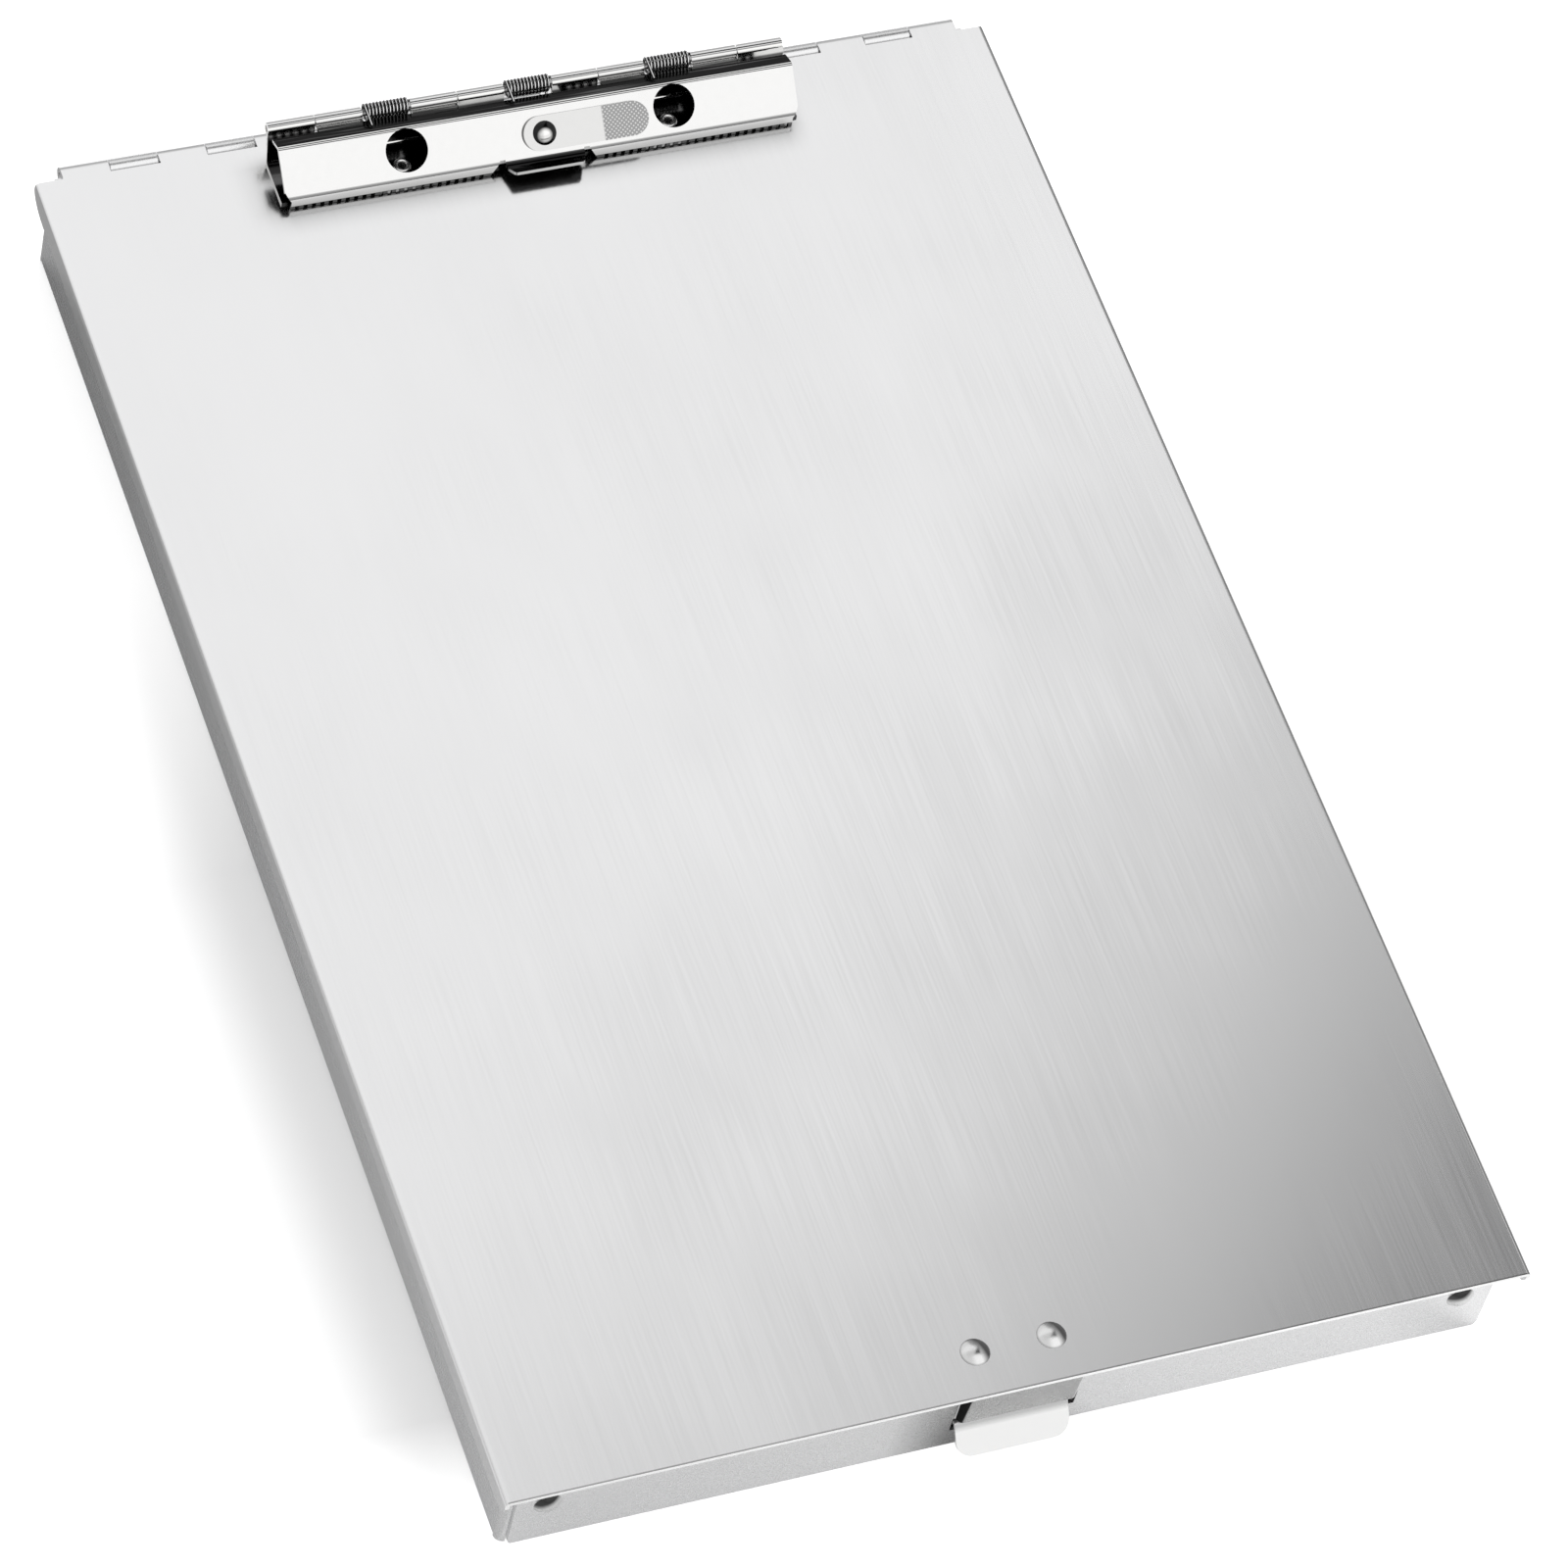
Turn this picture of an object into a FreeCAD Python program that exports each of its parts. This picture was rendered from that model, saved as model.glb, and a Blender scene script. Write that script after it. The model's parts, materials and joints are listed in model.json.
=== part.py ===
import FreeCAD, Part
import math
import os

V = FreeCAD.Vector

# All sizes are in millimetres. X is to the right, Y towards the hinge, Z up from the table.
ACROSS = V(1, 0, 0)
BACK = V(0, 1, 0)
UP = V(0, 0, 1)

# Fits shared by the pieces
running_gap = 0.05
rivet_gap = 0.05
fold_gap = 0.05
overrun = 1.0
dome_bands = 4
roll_bands = 3
same_point = 0.0001

# Box tray, folded from one sheet
box_width = 224.0
box_length = 344.1
wall_height = 26.3
box_sheet = 1.0
floor_bend = 1.5
corner_bend = 2.0
corner_lift = 0.6
corner_tab = 13.0
corner_tab_lift = 1.8
floor_corner_round = 3.0

# Lid, folded from one sheet
lid_sheet = 1.0
lid_seat_gap = 0.1
lid_side_gap = 2.0
lid_front_overhang = 4.1
lid_rear_gap = 0.2
lid_bend = 1.2
lid_flange = 5.8
flange_front_round = 5.0
flange_rear_round = 8.0
flange_end_rise = 4.2

# Piano hinge between box and lid
hinge_end_gap = 3.5
hinge_knuckles = 19
knuckle_gap = 0.3
hinge_pin_radius = 1.15
hinge_pin_inset = 0.5
curl_gap = 0.2
knuckle_notch_gap = 0.5

# Corner rivets of the box
corner_rivet_in = 9.1
corner_rivet_height = 15.4
corner_rivet_head = 3.15
corner_rivet_dome = 1.5
corner_rivet_shank = 1.6
corner_rivet_tail = 2.6
corner_rivet_tail_height = 0.9

# Latch catch: a bridge pressed out of the front wall over a slot
catch_shift = 1.2
bridge_face_half = 12.9
bridge_step = 0.7
bridge_land = 2.4
bridge_bottom = 12.2
bridge_rise_low = 1.5
bridge_rise_high = 2.5
bridge_face_bend = 1.2
bridge_foot_bend = 0.5
slot_half = 14.1
slot_bottom = 7.2

# Latch strip of spring steel under the lid
latch_sheet = 0.7
latch_width = 25.6
latch_foot_length = 9.8
latch_set_back = 1.15
latch_bend = 1.2
latch_inner_bend = 0.5
latch_lip_drop = 2.6
latch_shelf_height = 11.5
latch_shelf_reach = 2.15
finger_tab_length = 8.0
finger_tab_slope = 51.0
finger_tab_round = 3.7
latch_rivet_in = 4.2
latch_rivet_back = 10.5
latch_rivet_head = 3.25
latch_rivet_dome = 1.3
latch_rivet_shank = 1.5
latch_rivet_tail = 2.4
latch_rivet_tail_height = 0.8

# Clip on the lid, pressed from plated steel. Its places are ahead of the lid's hinge and above the lid.
clip_width = 124.5
clip_sheet = 0.7
clip_slots = 11
clip_slot_gap = 0.3
clip_ahead = 4.4
clip_axis_height = 8.7
clip_pin_radius = 0.8
clip_pin_inset = 0.5
clip_foot_front = 19.7
clip_foot_back = 7.4
clip_foot_bend = 1.5
clip_wall_height = 6.4
jaw_end_gap = 0.35
jaw_top_ahead = 12.0
jaw_top_height = 11.1
jaw_lip_ahead = 21.05
jaw_lip_height = 3.2
jaw_tip_ahead = 21.45
jaw_tip_gap = 0.15
jaw_top_bend = 1.1
jaw_lip_bend = 1.7
jaw_spring_window = 2.3
jaw_knuckle_window = 3.7
jaw_corner_cut = 1.4
lip_gap_top = 10.8
lip_gap_bottom = 13.6
teeth_pitch = 2.0
teeth_gap = 1.0
teeth_height = 0.8
thumb_root_half = 9.5
thumb_front_half = 8.3
thumb_corner_ahead = 21.65
thumb_corner_height = 2.7
thumb_front_ahead = 24.6
thumb_front_height = 3.95
thumb_bend = 2.0
thumb_round = 0.4
access_hole_spacing = 64.4
access_hole_radius = 5.0
access_hole_down = 5.3

# Tubular rivets that hold the clip
clip_rivet_ahead = 15.0
clip_rivet_bore = 1.0
clip_rivet_shank = 1.5
clip_rivet_flange = 2.1
clip_rivet_flange_height = 0.7
clip_rivet_head = 2.9
clip_rivet_head_height = 0.8

# Torsion springs of the clip
spring_wire = 0.5
spring_wire_sides = 4
spring_radius = 1.6
spring_pitch = 0.92
spring_leg_reach = 5.6
spring_leg_drop = 5.4
spring_seat_gap = 0.08

# Swivel lever on the jaw
lever_length = 30.2
lever_width = 8.0
lever_sheet = 0.8
lever_pivot_in = 5.0
lever_pivot_across = 0.4
lever_down = 6.5
lever_rivet_head = 2.8
lever_rivet_dome = 1.3
lever_rivet_shank = 1.3
lever_rivet_tail = 2.2
lever_rivet_tail_height = 0.6

# Places that follow from the sizes
half_width = box_width / 2
half_length = box_length / 2
lid_under = wall_height + lid_seat_gap
lid_top = lid_under + lid_sheet
lid_half = half_width + lid_side_gap + lid_sheet
lid_front = -half_length - lid_front_overhang
lid_rear = half_length - box_sheet - lid_rear_gap

hinge_bore = hinge_pin_radius + running_gap
lid_barrel = hinge_bore + lid_sheet
box_barrel = hinge_bore + box_sheet
hinge_y = half_length - box_sheet + box_barrel
hinge_z = lid_top - lid_barrel
hinge_length = box_width - 2 * hinge_end_gap
hinge_pitch = hinge_length / hinge_knuckles

tab_y = half_length - box_sheet - fold_gap
side_end = tab_y - corner_bend
front_half = half_width - corner_bend

clip_bore = clip_pin_radius + running_gap
clip_barrel = clip_bore + clip_sheet
clip_pitch = clip_width / clip_slots
jaw_width = clip_width - 2 * jaw_end_gap
spring_turns = int((clip_pitch - clip_slot_gap - spring_wire) / spring_pitch)


def on_lid(ahead, height):
    """Point of the clip, from its distance ahead of the lid's hinge and above the lid."""
    return V(0, hinge_y - ahead, lid_top + height)


clip_axis = on_lid(clip_ahead, clip_axis_height)
jaw_top = on_lid(jaw_top_ahead, jaw_top_height)
jaw_lip = on_lid(jaw_lip_ahead, jaw_lip_height)
jaw_down = (jaw_lip - jaw_top).normalize()
jaw_out = jaw_down.cross(ACROSS)

latch_y = -half_length + latch_set_back
latch_pivot = V(0, latch_y + latch_sheet / 2, lid_under - latch_lip_drop - latch_sheet / 2 - running_gap)
latch_rivet_y = lid_front + latch_rivet_back


def line(start, end):
    return Part.LineSegment(start, end).toShape()


def arc(start, middle, end):
    return Part.Arc(start, middle, end).toShape()


def straight(start, end):
    """A line as a list, empty where one bend runs straight into what follows."""
    return [line(start, end)] if (end - start).Length > same_point else []


def block(low, high):
    size = high - low
    return Part.makeBox(size.x, size.y, size.z, low)


def prism(points, sweep):
    """Straight extrusion of a polygon."""
    return Part.Face(Part.makePolygon(points + points[:1])).extrude(sweep)


def fused(shapes):
    return shapes[0].multiFuse(shapes[1:]).removeSplitter()


def mirrored(shape, direction):
    return shape.mirror(V(0, 0, 0), direction)


def four_corners(shape):
    """The shape and its images across the middle planes of the box."""
    pair = [shape, mirrored(shape, ACROSS)]
    return pair + [mirrored(one, BACK) for one in pair]


def turned(direction, angle):
    """Direction in the side view, turned from BACK towards UP by an angle in radians."""
    return direction * math.cos(angle) + ACROSS.cross(direction) * math.sin(angle)


def sheet_side(points, bends, offset, axis):
    """Edges of one face of a bent sheet, moved to the left of its way by offset."""
    ways = [(b - a).normalize() for a, b in zip(points, points[1:])]
    lefts = [axis.cross(way) for way in ways]
    edges = []
    here = points[0] + lefts[0] * offset
    for i, bend in enumerate(bends):
        turn = ways[i].getAngle(ways[i + 1])
        side = math.copysign(1, axis.dot(ways[i].cross(ways[i + 1])))
        reach = bend * math.tan(turn / 2)
        begin = points[i + 1] - ways[i] * reach
        finish = points[i + 1] + ways[i + 1] * reach
        centre = begin + lefts[i] * (side * bend)
        outward = (lefts[i] + lefts[i + 1]).normalize() * (-side)
        edges += straight(here, begin + lefts[i] * offset)
        here = finish + lefts[i + 1] * offset
        edges.append(arc(begin + lefts[i] * offset, centre + outward * (bend - side * offset), here))
    return edges + straight(here, points[-1] + lefts[-1] * offset)


def sheet_wire(points, bends, thickness, axis):
    """Closed outline of a bent sheet whose thickness lies to the left of its way."""
    near = sheet_side(points, bends, 0, axis)
    far = sheet_side(points, bends, thickness, axis)
    starts = line(near[0].Vertexes[0].Point, far[0].Vertexes[0].Point)
    ends = line(near[-1].Vertexes[-1].Point, far[-1].Vertexes[-1].Point)
    return Part.Wire(Part.__sortEdges__(near + far + [starts, ends]))


def bent_sheet(points, bends, thickness, sweep):
    """Solid of a bent sheet, swept along its bend lines."""
    axis = V(sweep).normalize()
    return Part.Face(sheet_wire(points, bends, thickness, axis)).extrude(sweep)


def across(points, half):
    """The same side-view points, moved to the left end of a width."""
    return [point - ACROSS * half for point in points]


def quarter_turn(centre, start, end):
    """Quarter of a circle or, where the two reaches differ, of an ellipse."""
    reaches = sorted([start, end], key=lambda point: (point - centre).Length)
    if (reaches[1] - centre).Length - (reaches[0] - centre).Length > same_point:
        curve = Part.Ellipse(reaches[1], reaches[0], centre)
        return Part.ArcOfEllipse(curve, 0, math.pi / 2).toShape()
    middle = (start + end - centre * 2).normalize() * (start - centre).Length
    return arc(start, centre + middle, end)


def corner_cutter(corner, first, second, reach_first, reach_second, sweep):
    """What rounds off a corner; first and second point out of the piece along its two edges."""
    centre = corner - first * reach_first - second * reach_second
    start = centre + first * reach_first
    end = centre + second * reach_second
    outer = corner + (first + second) * overrun
    edges = [quarter_turn(centre, start, end), line(end, end + second * overrun),
             line(end + second * overrun, outer), line(outer, start + first * overrun),
             line(start + first * overrun, start)]
    return Part.Face(Part.Wire(Part.__sortEdges__(edges))).extrude(sweep)


def curl(centre, outer, bore, stem_angle, side, left, right, gap):
    """Hinge knuckle, open where its rolled edge meets the stem that arrives at stem_angle."""
    ring = Part.makeCylinder(outer, right - left, centre + ACROSS * left, ACROSS)
    ring = ring.cut(Part.makeCylinder(bore, right - left, centre + ACROSS * left, ACROSS))
    opening = math.pi / 2 - math.asin((bore - gap) / outer)
    reach = (outer + overrun) / math.cos(opening / 2)
    corners = [centre] + [centre + turned(BACK, stem_angle + side * turn) * reach
                          for turn in (0, opening / 2, opening)]
    sweep = ACROSS * (right - left + 2 * overrun)
    return ring.cut(prism([corner + ACROSS * (left - overrun) for corner in corners], sweep))


def turned_solid(corners):
    """Solid of revolution about the upright axis, from the corners of its half section."""
    return Part.Face(Part.makePolygon(corners + corners[:1])).revolve(V(0, 0, 0), UP, 360)


def domed_rivet(place, outward, head, dome, shank, grip, tail, tail_height):
    """Solid rivet set through the sheets below it, its domed head turned in a few bands."""
    radius = (head ** 2 + dome ** 2) / (2 * dome)
    spread = math.asin(head / radius)
    angles = [spread * band / dome_bands for band in range(dome_bands + 1)]
    corners = [V(radius * math.sin(angle), 0, dome - radius + radius * math.cos(angle)) for angle in angles]
    corners += [V(shank, 0, 0), V(shank, 0, -grip), V(tail, 0, -grip),
                V(tail, 0, -grip - tail_height), V(0, 0, -grip - tail_height)]
    body = turned_solid(corners)
    body.Placement = FreeCAD.Placement(place, FreeCAD.Rotation(UP, outward))
    return body


def tubular_rivet(place, grip):
    """Hollow rivet: flat head below the lid, edge rolled outwards above the clip's foot."""
    roll = (clip_rivet_flange - clip_rivet_bore) / 2
    side = clip_rivet_flange_height - roll
    low = -grip - clip_rivet_head_height
    angles = [math.pi * band / roll_bands for band in range(roll_bands + 1)]
    corners = [V(clip_rivet_bore + roll - roll * math.cos(angle), 0, side + roll * math.sin(angle))
               for angle in angles]
    corners += [V(clip_rivet_flange, 0, 0), V(clip_rivet_shank, 0, 0), V(clip_rivet_shank, 0, -grip),
                V(clip_rivet_head, 0, -grip), V(clip_rivet_head, 0, low), V(clip_rivet_bore, 0, low)]
    body = turned_solid(corners)
    body.translate(place)
    return body


def hole(place, outward, radius, depth):
    """Cutter for a round hole from a face inwards, with an overrun at both ends."""
    return Part.makeCylinder(radius, depth + 2 * overrun, place + outward * overrun, outward * -1)


def corner_rivet_places():
    """Seats of the box's corner rivets, with the way their heads face."""
    side = half_width - corner_rivet_in
    return {
        "front_left_corner_rivet": (V(-side, -half_length, corner_rivet_height), BACK * -1),
        "front_right_corner_rivet": (V(side, -half_length, corner_rivet_height), BACK * -1),
        "rear_left_corner_rivet": (V(-side, half_length, corner_rivet_height), BACK),
        "rear_right_corner_rivet": (V(side, half_length, corner_rivet_height), BACK),
    }


def knuckle_span(index, pitch, count, gap):
    """Left and right end of one knuckle in a row that is centred on the box."""
    left = (index - count / 2) * pitch
    return left + gap / 2, left + pitch - gap / 2


def box_walls():
    """Floor with front and rear walls, crossed by the floor with its side walls."""
    long_path = [V(0, -half_length, wall_height), V(0, -half_length, 0), V(0, half_length, 0),
                 V(0, half_length, wall_height)]
    long_strip = bent_sheet(across(long_path, front_half), [floor_bend] * 2, box_sheet,
                            ACROSS * (2 * front_half))
    wide_path = [V(-half_width, side_end, wall_height), V(-half_width, side_end, 0),
                 V(half_width, side_end, 0), V(half_width, side_end, wall_height)]
    wide_strip = bent_sheet(wide_path, [floor_bend] * 2, box_sheet, BACK * (-2 * side_end))
    corner = V(front_half, -half_length - overrun, 0)
    rounding = corner_cutter(corner, ACROSS, UP * -1, floor_corner_round, floor_corner_round,
                             BACK * (half_length - side_end + overrun))
    return [long_strip.cut(Part.makeCompound(four_corners(rounding))), wide_strip]


def box_corner():
    """Side wall's end at the front left, bent round and tucked behind the front wall."""
    lift = UP * corner_lift
    path = [V(-front_half, -tab_y, 0) + lift, V(-half_width, -tab_y, 0) + lift,
            V(-half_width, -side_end, 0) + lift]
    turn = bent_sheet(path[::-1], [corner_bend], box_sheet, UP * (wall_height - corner_lift))
    tab = block(V(-front_half, -tab_y, corner_tab_lift),
                V(-front_half + corner_tab, -tab_y + box_sheet, wall_height))
    return turn.fuse(tab)


def bridge_outline(height, rise):
    """Plan section of the bridge at one height, a little off the middle of the box."""
    foot = bridge_face_half + bridge_step
    half_path = [(foot + bridge_land, 0), (foot, 0), (bridge_face_half, rise)]
    path = [V(catch_shift - reach, -half_length - out, height) for reach, out in half_path]
    path += [V(catch_shift + reach, -half_length - out, height) for reach, out in reversed(half_path)]
    bends = [bridge_foot_bend, bridge_face_bend, bridge_face_bend, bridge_foot_bend]
    return sheet_wire(path, bends, box_sheet, UP)


def with_catch(tray):
    """Slot in the front wall and the bridge above it that the latch snaps under."""
    reach = bridge_face_half + bridge_step + bridge_land
    front = -half_length - overrun
    inside = -half_length + box_sheet + fold_gap / 2
    window = block(V(catch_shift - reach, front, bridge_bottom),
                   V(catch_shift + reach, inside, wall_height + overrun))
    slot = block(V(catch_shift - slot_half, front, slot_bottom),
                 V(catch_shift + slot_half, inside, bridge_bottom))
    bridge = Part.makeLoft([bridge_outline(bridge_bottom, bridge_rise_low),
                            bridge_outline(wall_height, bridge_rise_high)], True, True)
    return tray.cut(window).cut(slot).fuse(bridge)


def with_box_knuckles(tray):
    """Rear wall notched for the lid's knuckles, with its own curled over the pin."""
    centre = V(0, hinge_y, hinge_z)
    row = hinge_length / 2
    floor = hinge_z - lid_barrel - knuckle_notch_gap
    inside = half_length - box_sheet - fold_gap / 2
    tray = tray.cut(block(V(-row, inside, floor), V(row, half_length + overrun, wall_height + overrun)))
    pieces = [tray]
    for index in range(1, hinge_knuckles, 2):
        left, right = knuckle_span(index, hinge_pitch, hinge_knuckles, knuckle_gap)
        pieces.append(block(V(left, half_length - box_sheet, floor), V(right, half_length, hinge_z)))
        pieces.append(curl(centre, box_barrel, hinge_bore, math.pi, 1, left, right, curl_gap))
    return fused(pieces)


def make_box_tray():
    tray = fused(box_walls() + four_corners(box_corner()))
    tray = with_catch(tray)
    tray = with_box_knuckles(tray)
    holes = [hole(place, outward, corner_rivet_shank + rivet_gap, 2 * box_sheet + fold_gap)
             for place, outward in corner_rivet_places().values()]
    return tray.cut(Part.makeCompound(holes))


def make_corner_rivet(place, outward):
    return domed_rivet(place, outward, corner_rivet_head, corner_rivet_dome, corner_rivet_shank,
                       2 * box_sheet + fold_gap, corner_rivet_tail, corner_rivet_tail_height)


def make_hinge_pin():
    length = hinge_length - 2 * hinge_pin_inset
    return Part.makeCylinder(hinge_pin_radius, length, V(-length / 2, hinge_y, hinge_z), ACROSS)


def latch_rivet_places():
    return [V(side * (latch_width / 2 - latch_rivet_in), latch_rivet_y, lid_top) for side in (-1, 1)]


def clip_rivet_places():
    middle = on_lid(clip_rivet_ahead, clip_sheet)
    return [middle + ACROSS * (side * access_hole_spacing / 2) for side in (-1, 1)]


def make_lid():
    path = [V(lid_half, lid_front, lid_top - lid_flange), V(lid_half, lid_front, lid_top),
            V(-lid_half, lid_front, lid_top), V(-lid_half, lid_front, lid_top - lid_flange)]
    lid = bent_sheet(path[::-1], [lid_bend] * 2, lid_sheet, BACK * (lid_rear - lid_front))
    low = lid_top - lid_flange
    sweep = ACROSS * (2 * lid_half + 2 * overrun)
    for end, way, reach in ((lid_front, BACK * -1, flange_front_round), (lid_rear, BACK, flange_rear_round)):
        corner = V(-lid_half - overrun, end, low)
        lid = lid.cut(corner_cutter(corner, way, UP * -1, reach, flange_end_rise, sweep))
    pieces = [lid]
    for index in range(0, hinge_knuckles, 2):
        left, right = knuckle_span(index, hinge_pitch, hinge_knuckles, knuckle_gap)
        pieces.append(block(V(left, lid_rear, lid_under), V(right, hinge_y, lid_top)))
        centre = V(0, hinge_y, hinge_z)
        pieces.append(curl(centre, lid_barrel, hinge_bore, math.pi / 2, 1, left, right, curl_gap))
    holes = [hole(place, UP, latch_rivet_shank + rivet_gap, lid_sheet) for place in latch_rivet_places()]
    holes += [hole(place, UP, clip_rivet_shank + rivet_gap, clip_sheet + lid_sheet)
              for place in clip_rivet_places()]
    return fused(pieces).cut(Part.makeCompound(holes))


def make_latch_foot():
    """Riveted half of the latch strip, down to where the strip flexes."""
    back = latch_rivet_y + latch_foot_length / 2
    path = [V(0, back, lid_under), V(0, latch_y, lid_under), V(0, latch_y, lid_under - latch_lip_drop)]
    foot = bent_sheet(across(path, latch_width / 2), [latch_bend], latch_sheet, ACROSS * latch_width)
    holes = [hole(place, UP, latch_rivet_shank + rivet_gap, lid_sheet + latch_sheet)
             for place in latch_rivet_places()]
    return foot.cut(Part.makeCompound(holes))


def make_latch_tongue():
    """Flexing half of the latch strip, with the finger tab that comes out of the slot."""
    slope = math.radians(finger_tab_slope)
    down = V(0, -math.cos(slope), -math.sin(slope))
    shelf = V(0, latch_y - latch_shelf_reach, latch_shelf_height)
    tip = shelf + down * finger_tab_length
    path = [V(0, latch_y, latch_pivot.z), V(0, latch_y, latch_shelf_height), shelf, tip]
    strip = bent_sheet(across(path, latch_width / 2), [latch_inner_bend, latch_bend], latch_sheet,
                       ACROSS * latch_width)
    top = Part.makeCylinder(latch_sheet / 2, latch_width, latch_pivot - ACROSS * (latch_width / 2), ACROSS)
    outward = down.cross(ACROSS)
    for side in (-1, 1):
        corner = tip + ACROSS * (side * latch_width / 2) + outward * overrun
        strip = strip.cut(corner_cutter(corner, ACROSS * side, down, finger_tab_round, finger_tab_round,
                                        outward * (-latch_sheet - 2 * overrun)))
    return fused([strip, top])


def make_latch_rivet(place):
    return domed_rivet(place, UP, latch_rivet_head, latch_rivet_dome, latch_rivet_shank,
                       lid_sheet + latch_sheet, latch_rivet_tail, latch_rivet_tail_height)


def tangent_point(start, centre, radius, side):
    """Where a straight face from start touches the bore circle, and the way it arrives."""
    to_centre = centre - start
    lean = math.asin(radius / to_centre.Length)
    way = turned(to_centre.normalize(), side * lean)
    return centre + ACROSS.cross(way) * (side * radius), way


def way_angle(way):
    return math.atan2(way.z, way.y)


def make_clip_base():
    """Foot on the lid, rear wall and the four knuckles that the wall curls into."""
    corner = on_lid(clip_foot_back, 0)
    touch, way = tangent_point(corner, clip_axis, clip_bore, 1)
    path = [on_lid(clip_foot_front, 0), corner, touch]
    base = bent_sheet(across(path, clip_width / 2), [clip_foot_bend], clip_sheet, ACROSS * clip_width)
    low = on_lid(clip_foot_front, clip_wall_height)
    high = on_lid(clip_ahead, clip_axis_height) + (BACK + UP) * clip_barrel
    cuts = []
    for first, last in ((1, 3), (5, 5), (7, 9)):
        left = knuckle_span(first, clip_pitch, clip_slots, -clip_slot_gap)[0]
        right = knuckle_span(last, clip_pitch, clip_slots, -clip_slot_gap)[1]
        cuts.append(block(low + ACROSS * left, high + ACROSS * right))
    cuts += [hole(place, UP, clip_rivet_shank + rivet_gap, clip_sheet) for place in clip_rivet_places()]
    pieces = [base.cut(Part.makeCompound(cuts))]
    for index in (0, 4, 6, 10):
        left, right = knuckle_span(index, clip_pitch, clip_slots, clip_slot_gap)
        left = max(left, -clip_width / 2)
        right = min(right, clip_width / 2)
        stem = way_angle(way) + math.pi / 2
        pieces.append(curl(clip_axis, clip_barrel, clip_bore, stem, 1, left, right, curl_gap))
    return fused(pieces)


def on_plate(sideways, down, out):
    """Point on the jaw's sloping plate, measured from its top bend."""
    return jaw_top + ACROSS * sideways + jaw_down * down + jaw_out * out


def lip_teeth():
    """Cutters for the gaps between the teeth along the lip's edge."""
    count = int((jaw_width / 2 - jaw_corner_cut - lip_gap_bottom) / teeth_pitch)
    low = on_lid(jaw_tip_ahead, -overrun)
    gaps = []
    for index in range(count):
        left = lip_gap_bottom + teeth_pitch * index + teeth_pitch - teeth_gap
        corner = V(left, low.y - overrun, low.z)
        opposite = V(left + teeth_gap, low.y + 2 * clip_sheet + overrun, lid_top + jaw_tip_gap + teeth_height)
        gaps.append(block(corner, opposite))
    return gaps + [mirrored(gap, ACROSS) for gap in gaps]


def jaw_windows(touch):
    """Cutters that clear the jaw's rear part from the springs and the base's knuckles."""
    way = (touch - jaw_top).normalize()
    length = (touch - jaw_top).Length
    normal = ACROSS.cross(way)
    cutters = []
    spans = [(0, 0, jaw_knuckle_window), (2, 2, jaw_spring_window), (4, 6, jaw_knuckle_window),
             (8, 8, jaw_spring_window), (10, 10, jaw_knuckle_window)]
    for first, last, depth in spans:
        left = knuckle_span(first, clip_pitch, clip_slots, -clip_slot_gap)[0]
        right = knuckle_span(last, clip_pitch, clip_slots, -clip_slot_gap)[1]
        edge = jaw_top + way * (length - depth)
        far = edge + way * (depth + 2 * clip_barrel)
        corners = [edge + normal * clip_barrel, edge - normal * clip_barrel, far - normal * clip_barrel,
                   far + normal * clip_barrel]
        cutters.append(prism([corner + ACROSS * left for corner in corners], ACROSS * (right - left)))
    return cutters


def thumb_tab():
    """Middle of the jaw's edge, turned up so that a thumb can lift it."""
    start = jaw_top + jaw_down * ((jaw_lip - jaw_top).Length / 2)
    corner = on_lid(thumb_corner_ahead, thumb_corner_height)
    front = on_lid(thumb_front_ahead, thumb_front_height)
    path = [start, corner, front]
    tab = bent_sheet(across(path, thumb_root_half), [thumb_bend], clip_sheet, ACROSS * (2 * thumb_root_half))
    forward = (front - corner).normalize()
    outward = forward.cross(ACROSS)
    for side in (-1, 1):
        tip = front + ACROSS * (side * thumb_front_half) + outward * overrun
        root = corner + ACROSS * (side * thumb_root_half) + outward * overrun
        outer = tip + ACROSS * (side * overrun * 2)
        sweep = outward * (-clip_sheet - 2 * overrun)
        tab = tab.cut(prism([tip, tip + forward * overrun, outer + forward * overrun, outer, root], sweep))
        tab = tab.cut(corner_cutter(tip, ACROSS * side, forward, thumb_round, thumb_round, sweep))
    return tab


def lip_cuts():
    """Middle gap of the lip and its two slanting outer ends."""
    top = on_plate(0, (jaw_lip - jaw_top).Length - jaw_lip_bend / 2, 0)
    low = lid_top - overrun
    front = on_lid(jaw_tip_ahead, 0).y - 2 * overrun
    depth = BACK * (top.y - front)
    middle = [V(-lip_gap_top, front, top.z), V(lip_gap_top, front, top.z), V(lip_gap_bottom, front, low),
              V(-lip_gap_bottom, front, low)]
    edge = jaw_width / 2
    end = [V(edge - jaw_corner_cut, front, low), V(edge + overrun, front, low),
           V(edge + overrun, front, top.z + jaw_corner_cut / 2), V(edge, front, top.z + jaw_corner_cut / 2),
           V(edge - jaw_corner_cut, front, top.z - jaw_corner_cut)]
    outer = prism(end, depth + BACK * overrun)
    return [prism(middle, depth), outer, mirrored(outer, ACROSS)]


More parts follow.
